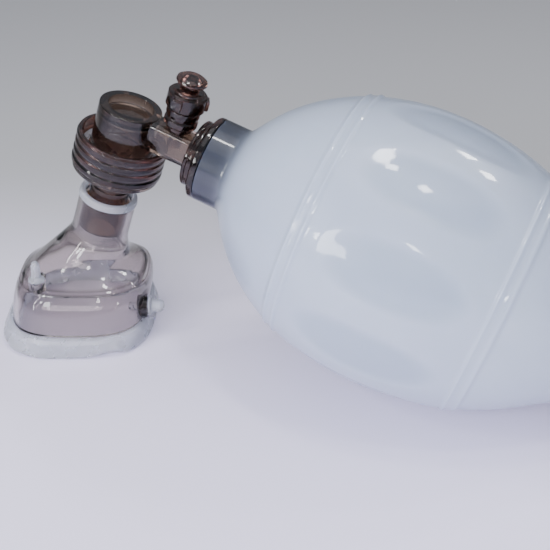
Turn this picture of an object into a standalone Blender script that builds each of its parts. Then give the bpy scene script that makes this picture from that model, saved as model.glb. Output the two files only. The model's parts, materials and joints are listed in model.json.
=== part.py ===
"""Bag valve mask: silicone self-inflating bag, patient valve with a pressure relief valve, face mask.

The device lies as it does on a table: the mask stands on its cuff, the bag rests on its belly, and
the bag's axis slopes down towards its rear. Two frames hold the parts. The valve frame has its origin
where the valve's axis crosses the bag's axis, +Z up the valve and +X along the bag to the rear. The
mask frame stands upright on the table, where the valve's axis meets it, turned a little about +Z. Lengths
are in millimetres and become metres when a mesh is made.
"""

import bmesh
import bpy
from math import cos, pi, radians, sin, tan
from mathutils import Matrix, Vector

MM = 0.001
GAP = 0.3
ROUND = 24

# How the device lies
TILT = radians(18.0)

# Squeeze bag, measured along the bag's axis from the valve's axis
BAG_FRONT = 44.8
BAG_MIDDLE = 143.0
BAG_REAR = 242.5
BAG_RADIUS = 64.5
BAG_FRONT_REACH = 87.0
BAG_REAR_REACH = 93.0
BAG_WALL = 2.8
NECK_BLEND = 3.5
NECK_RADIUS = 20.0
REAR_NECK_RADIUS = 33.0
BAND_CENTRES = (102.5, 190.5)
BAND_WIDTH = 6.0
BAND_HEIGHT = 1.0
GRIPS = 10
GRIP_LENGTH = 71.0
GRIP_SPAN = radians(27.0)
GRIP_DEPTH = 1.3

# Patient valve
CYLINDER_RADIUS = 15.0
CYLINDER_TOP = 7.8
CYLINDER_FOOT = -14.0
WELL_RADIUS = 11.0
WELL_FLOOR = 3.4
CHAMBER_RADIUS = 12.5
CHAMBER_TOP = 2.0
ARM_WIDTH = 13.0
ARM_TOP = 7.4
ARM_FOOT = -7.6
ARM_END = 35.5
ARM_WALL = 1.8
DRUM_RADIUS = 22.0
DRUM_TOP = -8.4
DRUM_FOOT = -25.0
DRUM_BORE = 19.6
DRUM_LEDGE = 17.6
LEDGE_TOP = -17.8
DRUM_RIBS = 4
RIB_DEPTH = 0.6
SPIGOT_RADIUS = 9.0
SPIGOT_TOP = -22.3
GAS_BORE = 7.5
TAPER_RADIUS = 11.0
TAPER_TOP = -44.0
TAPER_FOOT = -60.0
BASE_RING_FOOT = -27.8

# Pressure relief valve on the arm
RELIEF_X = 25.0
RELIEF_STEM_RADIUS = 6.0
RELIEF_BARREL_RADIUS = 8.0
RELIEF_BARREL_FOOT = 11.0
RELIEF_BARREL_TOP = 24.8
LOCK_SKIRT_FOOT = 19.6
LOCK_ROOF = 25.2
LOCK_TOP = 28.2
LUG_REACH = 10.4
LUG_TURN = radians(25.0)
CAP_RADIUS = 7.4
CAP_TOP = 34.8
CAP_THICKNESS = 3.2
CAP_STEM_FOOT = 22.6
SPRING_TOP = 22.0
CAP_STEM_RADIUS = 4.0

# Neck between valve and bag
JOURNAL_RADIUS = 9.0
NUT_FRONT = 35.9
NUT_RADIUS = 16.0
FLANGE_FRONT = 41.0
FLANGE_RADIUS = 20.0
NECK_BORE = 9.3

# Rear intake
INTAKE_RADIUS = 36.0
INTAKE_FACE = 247.0
PORT_RADIUS = 15.0
PORT_END = 276.0

# Mask, with heights above the table
COLLAR_RADIUS = 14.0
COLLAR_BORE = 11.4
COLLAR_TOP = -44.3
SHELL_FOOT = 10.5
SHELL_HALF_X = 34.2
SHELL_HALF_Y = 38.5
SHELL_POWER = 3.0
SHELL_WALL = 2.0
MASK_ROUND = 32
MASK_TURN = radians(20.0)
MASK_SHIFT = 2.5
LEFT_PLUG = Vector((-13.9, -24.6, 0.0))
LEFT_SEAT = 33.9
RIGHT_PLUG = Vector((0.0, -19.0, 16.8))
RIGHT_SEAT = 40.0
RIGHT_BOSS_RADIUS = 5.9


def bag_radius(x):
    """Outer radius of the plain bag at a place on its axis: two half ellipses that run into the necks."""
    at_front = x < BAG_MIDDLE
    share = min(abs(x - BAG_MIDDLE) / (BAG_FRONT_REACH if at_front else BAG_REAR_REACH), 1.0)
    belly = BAG_RADIUS * (1.0 - share**2) ** 0.5
    neck = NECK_RADIUS if at_front else REAR_NECK_RADIUS
    with_neck = (belly**NECK_BLEND + neck**NECK_BLEND) ** (1.0 / NECK_BLEND)
    return belly + (with_neck - belly) * share**2


def band_height(x):
    """How far the two moulded bands stand out."""
    edge = 0.8
    for centre in BAND_CENTRES:
        away = abs(x - centre) - BAND_WIDTH / 2
        if away < edge:
            return BAND_HEIGHT * min(1.0, (edge - away) / (2 * edge))
    return 0.0


def lift():
    """Height of the valve frame's origin when the bag's belly just touches the table."""
    places = [BAG_FRONT + 0.5 * step for step in range(int(2 * (BAG_REAR - BAG_FRONT)))]
    return max(x * sin(TILT) + (bag_radius(x) + band_height(x)) * cos(TILT) for x in places)


HEIGHT = lift()


def clear_scene():
    for item in list(bpy.data.objects):
        bpy.data.objects.remove(item, do_unlink=True)
    for mesh in list(bpy.data.meshes):
        bpy.data.meshes.remove(mesh)


def material(name, colour, roughness, metallic=0.0):
    made = bpy.data.materials.new(name)
    made.use_nodes = True
    shader = made.node_tree.nodes["Principled BSDF"]
    shader.inputs["Base Color"].default_value = (*colour, 1.0)
    shader.inputs["Roughness"].default_value = roughness
    shader.inputs["Metallic"].default_value = metallic
    return made


def empty(name, location=(0, 0, 0), rotation=(0, 0, 0), parent=None):
    made = bpy.data.objects.new(name, None)
    made.location = Vector(location) * MM
    made.rotation_euler = rotation
    made.parent = parent
    bpy.context.scene.collection.objects.link(made)
    return made


def finish_mesh(name, bm, parent, surface, offset=(0, 0, 0), sharp=35.0):
    """Turns a bmesh in millimetres into an object in metres under an empty."""
    bmesh.ops.recalc_face_normals(bm, faces=bm.faces)
    bm.transform(Matrix.Scale(MM, 4))
    mesh = bpy.data.meshes.new(name)
    bm.to_mesh(mesh)
    bm.free()
    mesh.shade_smooth()
    mesh.set_sharp_from_angle(angle=radians(sharp))
    made = bpy.data.objects.new(name, mesh)
    made.location = Vector(offset) * MM
    made.parent = parent
    if surface:
        mesh.materials.append(surface)
    bpy.context.scene.collection.objects.link(made)
    return made


def spun(outline, steps=ROUND):
    """A bmesh turned about Z from a closed outline of (radius, height) points."""
    bm = bmesh.new()
    corners = [bm.verts.new((radius, 0.0, height)) for radius, height in outline]
    edges = [bm.edges.new((corners[i - 1], corner)) for i, corner in enumerate(corners)]
    bmesh.ops.spin(
        bm,
        geom=corners + edges,
        cent=(0, 0, 0),
        axis=(0, 0, 1),
        angle=2 * pi,
        steps=steps,
        use_merge=True,
    )
    bmesh.ops.remove_doubles(bm, verts=bm.verts, dist=1e-4)
    bmesh.ops.dissolve_degenerate(bm, edges=bm.edges, dist=1e-5)
    return bm


def turned(name, outline, parent, surface, offset=(0, 0, 0), steps=ROUND):
    return finish_mesh(name, spun(outline, steps), parent, surface, offset)


def tube(inner, outer, low, high):
    """Outline of a plain ring or tube."""
    return [(inner, low), (outer, low), (outer, high), (inner, high)]


def rod(radius, low, high):
    return [(0.0, low), (radius, low), (radius, high), (0.0, high)]


def torus(ring_radius, wire_radius, height, sides=6):
    """Outline of an O-ring."""
    angles = [2 * pi * side / sides for side in range(sides)]
    return [(ring_radius + wire_radius * cos(a), height + wire_radius * sin(a)) for a in angles]


def ribbed(radius, low, high, count, depth):
    """Points up an outer wall that carries round-backed ribs with grooves between them."""
    pitch = (high - low) / count
    points = [(radius - depth, low)]
    for rib in range(count):
        foot = low + rib * pitch
        points.append((radius, foot + 0.22 * pitch))
        points.append((radius, foot + 0.68 * pitch))
        points.append((radius - depth, foot + 0.86 * pitch))
    points.append((radius - depth, high))
    return points


def block(size, centre, bevel=0.0):
    """A bmesh box, with its long edges rounded when bevel is given."""
    bm = bmesh.new()
    bmesh.ops.create_cube(bm, size=1.0)
    bm.transform(Matrix.Translation(centre) @ Matrix.Diagonal((*size, 1.0)))
    if bevel:
        long_edges = [e for e in bm.edges if abs((e.verts[0].co - e.verts[1].co).normalized().x) > 0.9]
        bmesh.ops.bevel(bm, geom=long_edges, offset=bevel, segments=3, profile=0.5, affect="EDGES")
    return bm


def along_x(bm):
    """Lays a bmesh that was made about Z along X."""
    bm.transform(Matrix.Rotation(pi / 2, 4, "Y"))
    return bm


def combine(target, bm, operation, parent, offset=(0, 0, 0)):
    """Adds or cuts a helper shape with an exact Boolean, applied at once."""
    helper = finish_mesh(target.name + "_helper", bm, parent, None, offset)
    step = target.modifiers.new(operation.lower(), "BOOLEAN")
    step.operation = operation
    step.solver = "EXACT"
    step.object = helper
    bpy.context.view_layer.update()
    shape = target.evaluated_get(bpy.context.evaluated_depsgraph_get())
    result = bpy.data.meshes.new_from_object(shape)
    target.modifiers.clear()
    target.data = result
    bpy.data.objects.remove(helper, do_unlink=True)


def smooth_again(target, sharp=35.0):
    target.data.shade_smooth()
    target.data.set_sharp_from_angle(angle=radians(sharp))


# Squeeze bag and neck


def grip_depth(x, angle):
    """Depth of the oval finger recesses, which stand in a row round the belly between the bands."""
    middle = sum(BAND_CENTRES) / 2
    pitch = 2 * pi / GRIPS
    off_centre = (angle + pitch / 2) % pitch - pitch / 2
    along = (x - middle) / (GRIP_LENGTH / 2)
    across = off_centre / (GRIP_SPAN / 2)
    inside = 1.0 - (abs(along) ** 2.6 + abs(across) ** 2.2)
    return GRIP_DEPTH * min(1.0, max(0.0, inside) * 3.0)


def bag_stations():
    """Places along the axis where the bag's outer skin has a ring of points."""
    places = [BAG_FRONT, 55.0, 60.0, 66.0, 74.0, 84.0]
    for centre in BAND_CENTRES:
        places += [centre + side * off for side in (-1, 1) for off in (2.3, 4.1)]
    middle = sum(BAND_CENTRES) / 2
    places += [middle + step * GRIP_LENGTH / 6 for step in range(-3, 4)]
    places += [204.0, 213.0, 220.0, 226.0, 231.0, BAG_REAR]
    return sorted(places)


def loft(rings, closed=True):
    """A bmesh skin over rings of points, the last joined to the first when closed."""
    bm = bmesh.new()
    rows = [[bm.verts.new(point) for point in ring] for ring in rings]
    count = len(rows[0])
    pairs = list(zip(rows, rows[1:] + rows[:1])) if closed else list(zip(rows, rows[1:]))
    for lower, upper in pairs:
        for i in range(count):
            j = (i + 1) % count
            bm.faces.new((lower[i], lower[j], upper[j], upper[i]))
    return bm


def squeeze_bag(parent, surface):
    """Hollow bag about local Z, open at both necks."""
    sides = 4 * GRIPS

    def ring(x, radius_at):
        angles = [2 * pi * side / sides for side in range(sides)]
        return [(-radius_at(x, a) * cos(a), radius_at(x, a) * sin(a), x) for a in angles]

    def outer(x, angle):
        return bag_radius(x) + band_height(x) - grip_depth(x, angle)

    def inner(x, angle):
        return bag_radius(x) - BAG_WALL

    places = bag_stations()
    rings = [ring(x, outer) for x in places]
    rings += [ring(x, inner) for x in reversed(places[::3] + [BAG_REAR])]
    return finish_mesh("squeeze_bag", loft(rings), parent, surface)


def neck_parts(parent, smoke, silicone):
    """Nut, flange with its spigot in the bag's neck, and the O-ring of the swivel."""
    nut = NUT_FRONT
    knurl = ribbed(NUT_RADIUS, nut, nut + 4.8, 2, 0.5)
    lip = [(12.2, nut + 4.8), (12.2, nut + 1.9), (NECK_BORE + GAP, nut + 1.9)]
    turned(
        "neck_nut",
        [(NECK_BORE + GAP, nut)] + knurl + lip,
        parent,
        smoke,
    )
    spigot = NECK_RADIUS - BAG_WALL - GAP
    turned(
        "neck_flange",
        [
            (NECK_BORE, FLANGE_FRONT),
            (FLANGE_RADIUS - 0.6, FLANGE_FRONT),
            (FLANGE_RADIUS, FLANGE_FRONT + 0.8),
            (FLANGE_RADIUS, FLANGE_FRONT + 2.8),
            (FLANGE_RADIUS - 0.6, BAG_FRONT - GAP),
            (spigot, BAG_FRONT - GAP),
            (spigot, 57.0),
            (spigot - 2.4, 58.0),
            (spigot - 2.4, 52.0),
            (NECK_BORE, 52.0),
        ],
        parent,
        smoke,
    )
    turned("neck_seal", torus(8.72, 0.45, 46.7), parent, silicone, steps=20)


# Rear intake valve


def rear_parts(parent, smoke, clear, silicone):
    """Intake valve in the bag's rear neck: flange, spoked seat, flap disc, button, cover and oxygen inlet."""
    spigot = REAR_NECK_RADIUS - BAG_WALL - GAP
    face = INTAKE_FACE
    turned(
        "intake_flange",
        [
            (spigot - 2.6, 228.0),
            (spigot, 228.0),
            (spigot, BAG_REAR + GAP),
            (INTAKE_RADIUS - 0.6, BAG_REAR + GAP),
            (INTAKE_RADIUS, BAG_REAR + 1.0),
            (INTAKE_RADIUS, face - 0.8),
            (INTAKE_RADIUS - 0.6, face),
            (spigot - 2.6, face),
            (spigot - 2.6, 240.4),
            (spigot - 4.6, 240.4),
            (spigot - 4.6, 239.4),
            (spigot - 2.6, 239.4),
        ],
        parent,
        smoke,
    )
    seat = turned("intake_seat", tube(19.0, spigot - 2.9, 236.4, 239.1), parent, clear)
    for turn in range(3):
        spoke = block((42.0, 3.0, 2.6), (0, 0, 237.7))
        spoke.transform(Matrix.Rotation(turn * pi / 3 + 0.01, 4, "Z"))
        combine(seat, spoke, "UNION", parent)
    hub = spun(rod(4.5, 236.2, 239.2), 24)
    combine(seat, hub, "UNION", parent)
    combine(seat, spun(rod(1.6, 234.0, 241.0), 16), "DIFFERENCE", parent)
    smooth_again(seat)
    turned("intake_disc", tube(1.9, 22.5, 234.8, 236.0), parent, silicone)
    turned(
        "disc_button",
        [(0, 229.6), (3.6, 230.4), (3.6, 231.6), (1.3, 231.6), (1.3, 241.6), (0, 241.6)],
        parent,
        silicone,
        steps=16,
    )
    cover = turned(
        "intake_cover",
        [
            (25.0, face + GAP),
            (INTAKE_RADIUS - 1.5, face + GAP),
            (INTAKE_RADIUS - 1.5, face + 4.0),
            (INTAKE_RADIUS - 4.0, face + 9.0),
            (INTAKE_RADIUS - 10.0, face + 13.0),
            (PORT_RADIUS + 1.5, face + 15.5),
            (PORT_RADIUS, face + 17.0),
            (PORT_RADIUS, PORT_END),
            (PORT_RADIUS - 2.5, PORT_END),
            (PORT_RADIUS - 2.5, face + 13.0),
            (22.0, face + 11.0),
            (25.0, face + 8.0),
        ],
        parent,
        clear,
    )
    nipple = Matrix.Translation((-23.5, 0, face + 2.0))
    bore = spun(rod(3.3, 0.0, 30.0), 20)
    bore.transform(nipple)
    combine(cover, bore, "DIFFERENCE", parent)
    smooth_again(cover)
    turned(
        "oxygen_nipple",
        [
            (1.5, 9.5),
            (3.0, 9.5),
            (3.0, 15.0),
            (4.6, 15.0),
            (4.6, 17.0),
            (2.6, 17.0),
            (3.4, 19.5),
            (2.6, 22.0),
            (3.3, 24.5),
            (2.4, 29.0),
            (1.5, 29.0),
        ],
        parent,
        clear,
        offset=(-23.5, 0, face + 2.0),
        steps=20,
    )


# Patient valve


def valve_housing(parent, surface):
    """Upper cylinder with its arm to the bag: one moulding with a gas chamber, and a shallow well on top."""
    cylinder = rod(CYLINDER_RADIUS, CYLINDER_FOOT, CYLINDER_TOP)
    housing = turned("valve_housing", cylinder, parent, surface, steps=32)
    arm_height = ARM_TOP - ARM_FOOT
    arm_middle = ARM_FOOT + arm_height / 2
    arm = block((ARM_END - 4.0, ARM_WIDTH, arm_height), ((ARM_END + 4.0) / 2, 0, arm_middle), bevel=2.2)
    combine(housing, arm, "UNION", parent)
    journal = [
        (0, 34.0),
        (JOURNAL_RADIUS, 34.0),
        (JOURNAL_RADIUS, NUT_FRONT + 2.2),
        (11.8, NUT_FRONT + 2.2),
        (11.8, NUT_FRONT + 4.6),
        (JOURNAL_RADIUS, NUT_FRONT + 4.6),
        (JOURNAL_RADIUS, 45.9),
        (8.15, 45.9),
        (8.15, 47.5),
        (JOURNAL_RADIUS, 47.5),
        (JOURNAL_RADIUS, 51.5),
        (0, 51.5),
    ]
    combine(housing, along_x(spun(journal, 32)), "UNION", parent)
    combine(housing, spun(rod(CHAMBER_RADIUS, CYLINDER_FOOT - 2.0, CHAMBER_TOP), 40), "DIFFERENCE", parent)
    combine(housing, spun(rod(WELL_RADIUS, WELL_FLOOR, CYLINDER_TOP + 2.0), 40), "DIFFERENCE", parent)
    passage_height = arm_height - 2 * ARM_WALL
    passage_size = (ARM_END - 19.0, ARM_WIDTH - 2 * ARM_WALL, passage_height)
    passage = block(passage_size, ((ARM_END + 16.0) / 2 - 0.5, 0, arm_middle), bevel=1.0)
    combine(housing, passage, "DIFFERENCE", parent)
    mouth_height = CHAMBER_TOP - ARM_FOOT - ARM_WALL - 0.4
    mouth_size = (14.0, ARM_WIDTH - 2 * ARM_WALL - 0.4, mouth_height)
    mouth = block(mouth_size, (13.0, 0, CHAMBER_TOP - 0.3 - mouth_height / 2))
    combine(housing, mouth, "DIFFERENCE", parent)
    combine(housing, along_x(spun(rod(4.6, 30.0, 56.0), 24)), "DIFFERENCE", parent)
    hole = spun(rod(3.8, 3.0, 14.0), 20)
    combine(housing, hole, "DIFFERENCE", parent, offset=(RELIEF_X, 0, 0))
    smooth_again(housing)


def drum_parts(parent, smoke, clear, silicone):
    """Ribbed lower housing with what is clamped inside it."""
    ribs = ribbed(DRUM_RADIUS, DRUM_FOOT, DRUM_TOP, DRUM_RIBS, RIB_DEPTH)
    bore = SPIGOT_RADIUS + GAP
    turned(
        "valve_drum",
        [(bore, DRUM_FOOT)]
        + ribs
        + [
            (DRUM_BORE, DRUM_TOP),
            (DRUM_BORE, LEDGE_TOP),
            (DRUM_LEDGE, LEDGE_TOP),
            (DRUM_LEDGE, DRUM_FOOT + 3.0),
            (bore, DRUM_FOOT + 3.0),
        ],
        parent,
        smoke,
        steps=32,
    )
    seat = turned("valve_seat_ring", tube(8.6, DRUM_BORE - GAP, LEDGE_TOP + GAP, -15.6), parent, clear)
    for port in range(6):
        angle = port * pi / 3 + 0.2
        drill = spun(rod(1.4, -19.0, -14.0), 8)
        drill.transform(Matrix.Translation((16.0 * cos(angle), 16.0 * sin(angle), 0)))
        combine(seat, drill, "DIFFERENCE", parent)
    smooth_again(seat)
    turned("exhale_disc", tube(15.4, 18.6, -15.3, -14.5), parent, silicone)
    bill = turned(
        "duckbill_valve",
        [
            (0, -23.6),
            (3.0, -23.6),
            (8.2, -15.9),
            (8.2, -15.3),
            (14.6, -15.3),
            (14.6, -14.3),
            (7.2, -14.3),
            (2.0, -22.6),
            (0, -22.6),
        ],
        parent,
        silicone,
        steps=32,
    )
    combine(bill, block((9.0, 0.5, 6.0), (0, 0, -23.0)), "DIFFERENCE", parent)
    smooth_again(bill)
    ring_foot = BASE_RING_FOOT
    turned(
        "valve_base_ring",
        [
            (SPIGOT_RADIUS + 0.9, ring_foot),
            (20.3, ring_foot),
            (21.0, ring_foot + 0.7),
            (21.0, DRUM_FOOT - GAP),
            (13.4, DRUM_FOOT - GAP),
            (13.4, ring_foot + 1.1),
            (SPIGOT_RADIUS + 0.9, ring_foot + 1.1),
        ],
        parent,
        clear,
    )


def connector_parts(parent, amber, silicone):
    """Tube from the valve into the mask's collar, which swivels in the drum on its flange and O-ring."""
    turned(
        "patient_connector",
        [
            (GAS_BORE, TAPER_FOOT),
            (TAPER_RADIUS - 0.4, TAPER_FOOT),
            (TAPER_RADIUS, TAPER_TOP - 0.8),
            (TAPER_RADIUS - 0.8, TAPER_TOP),
            (SPIGOT_RADIUS + 0.6, TAPER_TOP),
            (SPIGOT_RADIUS + 0.6, -36.4),
            (SPIGOT_RADIUS, -36.0),
            (SPIGOT_RADIUS, BASE_RING_FOOT + 1.4),
            (13.0, BASE_RING_FOOT + 1.4),
            (13.0, BASE_RING_FOOT + 2.2),
            (SPIGOT_RADIUS, BASE_RING_FOOT + 2.2),
            (SPIGOT_RADIUS, -24.7),
            (8.25, -24.7),
            (8.25, -23.2),
            (SPIGOT_RADIUS, -23.2),
            (SPIGOT_RADIUS, SPIGOT_TOP),
            (GAS_BORE, SPIGOT_TOP),
        ],
        parent,
        amber,
    )
    turned("connector_o_ring", torus(8.78, 0.42, -23.95), parent, silicone, steps=20)


# Relief valve


def coil(turns, radius, low, high, wire, per_turn=10, sides=5):
    """A bmesh spring: a round wire swept along a helix, with flat caps on its ends."""
    points = int(turns * per_turn)
    rings = []
    for step in range(points + 1):
        share = step / points
        angle = 2 * pi * turns * share
        centre = Vector((radius * cos(angle), radius * sin(angle), low + (high - low) * share))
        outward = Vector((cos(angle), sin(angle), 0))
        circle = [2 * pi * side / sides for side in range(sides)]
        rings.append([centre + wire * (outward * cos(a) + Vector((0, 0, 1)) * sin(a)) for a in circle])
    bm = loft(rings, closed=False)
    bm.verts.ensure_lookup_table()
    bm.faces.new([bm.verts[i] for i in range(sides)])
    bm.faces.new([bm.verts[len(bm.verts) - sides + i] for i in range(sides)])
    return bm


def relief_parts(parent, smoke, clear, silicone, steel):
    """Relief valve: nozzle, sprung poppet, ribbed barrel, lugged lock ring and press cap."""
    seat_top = RELIEF_BARREL_FOOT + 1.3
    turned(
        "relief_seat",
        [
            (2.2, -1.0),
            (3.3, -1.0),
            (3.3, seat_top - 1.1),
            (5.6, seat_top - 1.1),
            (5.6, seat_top),
            (2.2, seat_top),
        ],
        parent,
        clear,
        steps=24,
    )
    foot = RELIEF_BARREL_FOOT
    turned(
        "relief_body",
        [(3.8, ARM_TOP + GAP), (RELIEF_STEM_RADIUS, ARM_TOP + GAP), (RELIEF_STEM_RADIUS, foot - 1.2)]
        + ribbed(RELIEF_BARREL_RADIUS, foot - 1.2, RELIEF_BARREL_TOP, 3, 0.8)
        + [(6.2, RELIEF_BARREL_TOP), (6.2, foot), (3.8, foot)],
        parent,
        smoke,
    )
    turned("relief_seal", rod(3.6, seat_top + GAP, seat_top + 1.2), parent, silicone, steps=20)
    poppet = seat_top + 1.5
    turned(
        "relief_poppet",
        [
            (0, poppet),
            (4.6, poppet),
            (4.6, poppet + 1.1),
            (1.2, poppet + 1.1),
            (1.2, SPRING_TOP + 1.2),
            (0, SPRING_TOP + 1.2),
        ],
        parent,
        smoke,
        steps=20,
    )
    spring = coil(4.0, 2.9, poppet + 1.8, SPRING_TOP, 0.3)
    finish_mesh("relief_spring", spring, parent, steel)
    skirt = RELIEF_BARREL_RADIUS + GAP
    collar = CAP_STEM_RADIUS + 0.4
    lock = turned(
        "relief_lock_ring",
        [
            (skirt, LOCK_SKIRT_FOOT),
            (skirt + 1.0, LOCK_SKIRT_FOOT),
            (skirt + 1.0, LOCK_ROOF + 1.0),
            (skirt + 0.2, LOCK_ROOF + 1.8),
            (7.2, LOCK_ROOF + 1.8),
            (7.2, LOCK_TOP),
            (collar, LOCK_TOP),
            (collar, LOCK_ROOF),
            (skirt, LOCK_ROOF),
        ],
        parent,
        smoke,
        steps=32,
    )
    for turn in range(3):
        lug = block((2.0, 5.0, 5.6), (LUG_REACH - 1.0, 0, LOCK_SKIRT_FOOT + 3.4))
        lug.transform(Matrix.Rotation(turn * 2 * pi / 3 + LUG_TURN, 4, "Z"))
        combine(lock, lug, "UNION", parent)
    smooth_again(lock)
    disc = CAP_TOP - CAP_THICKNESS
    spring_room = CAP_STEM_FOOT + 3.6
    turned(
        "relief_cap",
        [
            (0, disc - 1.8),
            (1.5, disc - 1.8),
            (1.5, spring_room),
            (CAP_STEM_RADIUS - 0.5, spring_room),
            (CAP_STEM_RADIUS - 0.5, CAP_STEM_FOOT),
            (CAP_STEM_RADIUS, CAP_STEM_FOOT),
            (CAP_STEM_RADIUS, disc),
            (CAP_RADIUS - 0.5, disc),
            (CAP_RADIUS, disc + 0.8),
            (CAP_RADIUS - 0.4, CAP_TOP - 1.1),
            (CAP_RADIUS - 2.2, CAP_TOP),
            (0, CAP_TOP),
        ],
        parent,
        smoke,
        steps=32,
    )


# Face mask


def mask_section(height, half_x, half_y, power, lean):
    """Points round the mask at one height, in the turned mask frame.

    Lean 0 is a level superellipse of the mask's body, and lean 1 a circle square to the valve's axis.
    """
    back = Matrix.Rotation(-MASK_TURN, 3, "Z")
    lie = back @ Matrix.Rotation(TILT * lean, 3, "Y") @ Matrix.Rotation(MASK_TURN, 3, "Z")
    centre = back @ Vector((height * tan(TILT) * (1 + lean) / 2 + MASK_SHIFT * (1 - lean), 0, height))
    points = []
    for step in range(MASK_ROUND):
        angle = 2 * pi * step / MASK_ROUND
        x = half_x * abs(cos(angle)) ** (2 / power) * (1 if cos(angle) >= 0 else -1)
        y = half_y * abs(sin(angle)) ** (2 / power) * (1 if sin(angle) >= 0 else -1)
        points.append(centre + lie @ Vector((x, y, 0)))
    return points


def axis_height(z):
    """Height above the table of the point at z on the valve's axis."""
    return HEIGHT + z * cos(TILT)


def shell_sections(inset):
    """Rings up the mask's dome, from its lower edge through the shoulder to the collar."""
    bore = COLLAR_RADIUS - COLLAR_BORE if inset else 0.0
    rings = [
        (SHELL_FOOT, SHELL_HALF_X - inset, SHELL_HALF_Y - inset, SHELL_POWER, 0.0),
        (17.0, SHELL_HALF_X + 0.4 - inset, 36.5 - inset, SHELL_POWER, 0.0),
        (23.0, SHELL_HALF_X + 0.2 - inset, 34.5 - inset, SHELL_POWER, 0.0),
        (28.0 - 0.4 * inset, 33.4 - inset, 32.2 - inset, 2.9, 0.0),
        (31.5 - 0.8 * inset, 31.0 - inset, 29.2 - inset, 2.7, 0.0),
        (35.0 - 0.7 * inset, 26.8 - inset, 25.4 - inset, 2.4, 0.1),
        (39.0 - 0.6 * inset, 22.6 - inset, 21.8 - inset, 2.2, 0.3),
        (43.5 - 0.5 * inset, 18.8 - inset, 18.6 - inset, 2.1, 0.6),
        (48.0 - 0.3 * inset, 16.2 - inset, 16.2 - inset, 2.0, 0.9),
        (52.0, 14.6 - bore, 14.6 - bore, 2.0, 1.0),
        (57.0, COLLAR_RADIUS - bore, COLLAR_RADIUS - bore, 2.0, 1.0),
        (axis_height(COLLAR_TOP), COLLAR_RADIUS - bore, COLLAR_RADIUS - bore, 2.0, 1.0),
    ]
    return [mask_section(*ring) for ring in rings]


def mask_shell(parent, surface):
    """Clear dome with its collar and two round bosses that hold silicone plugs."""
    rings = shell_sections(0.0) + shell_sections(SHELL_WALL)[::-1]
    shell = finish_mesh("mask_shell", loft(rings), parent, surface)
    left = Matrix.Translation(LEFT_PLUG)
    boss = spun(rod(4.4, LEFT_SEAT - 5.5, LEFT_SEAT), 20)
    boss.transform(left)
    combine(shell, boss, "UNION", parent)
    for radius, foot in ((4.7, -GAP), (2.0, -12.0)):
        drill = spun(rod(radius, LEFT_SEAT + foot, LEFT_SEAT + 9.0), 20)
        drill.transform(left)
        combine(shell, drill, "DIFFERENCE", parent)
    right = Matrix.Translation(RIGHT_PLUG)
    boss = along_x(spun(rod(RIGHT_BOSS_RADIUS, RIGHT_SEAT - 6.0, RIGHT_SEAT), 28))
    boss.transform(right)
    combine(shell, boss, "UNION", parent)
    for radius, foot in ((RIGHT_BOSS_RADIUS + GAP, -GAP), (2.6, -14.0)):
        drill = along_x(spun(rod(radius, RIGHT_SEAT + foot, RIGHT_SEAT + 9.0), 24))
        drill.transform(right)
        combine(shell, drill, "DIFFERENCE", parent)
    smooth_again(shell)


def mask_plugs(parent, silicone):
    """Two silicone plugs: a stalk standing on the shoulder and a nipple in the side boss."""
    turned(
        "port_plug_left",
        [
            (0, -7.0),
            (1.7, -7.0),
            (1.7, 0.0),
            (4.2, 0.0),
            (3.9, 1.4),
            (2.4, 2.4),
            (2.1, 9.0),
            (1.3, 10.4),
            (0, 10.8),
        ],
        parent,
        silicone,
        offset=LEFT_PLUG + Vector((0, 0, LEFT_SEAT)),
        steps=20,
    )
    nipple = spun(
        [
            (0, -10.0),
            (2.2, -10.0),
            (2.2, 0.0),
            (5.2, 0.0),
            (5.2, 1.0),
            (3.4, 1.8),
            (3.2, 6.0),
            (2.2, 7.6),
            (0, 8.0),
        ],
        20,
    )
    offset = RIGHT_PLUG + Vector((RIGHT_SEAT, 0, 0))
    finish_mesh("port_plug_right", along_x(nipple), parent, silicone, offset)


def mask_cuff(parent, silicone):
    """Soft cushion round the shell's lower edge, flat where it presses on the table."""
    top = SHELL_FOOT - GAP
    outline = [
        (0.2, top),
        (2.2, 8.4),
        (3.6, 5.4),
        (4.2, 2.2),
        (3.0, 0.0),
        (-6.0, 0.0),
        (-8.6, 2.4),
        (-8.0, 6.0),
        (-2.6, top),
    ]
    rings = [mask_section(z, SHELL_HALF_X + off, SHELL_HALF_Y + off, SHELL_POWER, 0.0) for off, z in outline]
    finish_mesh("mask_cuff", loft(rings), parent, silicone, sharp=60.0)


def collar_ring(parent, silicone):
    turned(
        "collar_ring",
        [
            (COLLAR_BORE + 0.1, COLLAR_TOP + GAP),
            (COLLAR_RADIUS + 0.3, COLLAR_TOP + GAP),
            (COLLAR_RADIUS + 0.5, COLLAR_TOP + 1.4),
            (COLLAR_RADIUS + 0.1, COLLAR_TOP + 3.6),
            (COLLAR_RADIUS - 0.8, COLLAR_TOP + 4.0),
            (COLLAR_BORE + 0.4, COLLAR_TOP + 4.0),
        ],
        parent,
        silicone,
    )


def centre_on_origin(*empties):
    """Moves the assembly so that its box stands centred over the origin."""
    bpy.context.view_layer.update()
    solids = [item for item in bpy.data.objects if item.type == "MESH"]
    reach = [(item.matrix_world @ vertex.co).x for item in solids for vertex in item.data.vertices]
    for item in empties:
        item.location.x -= (min(reach) + max(reach)) / 2


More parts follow.
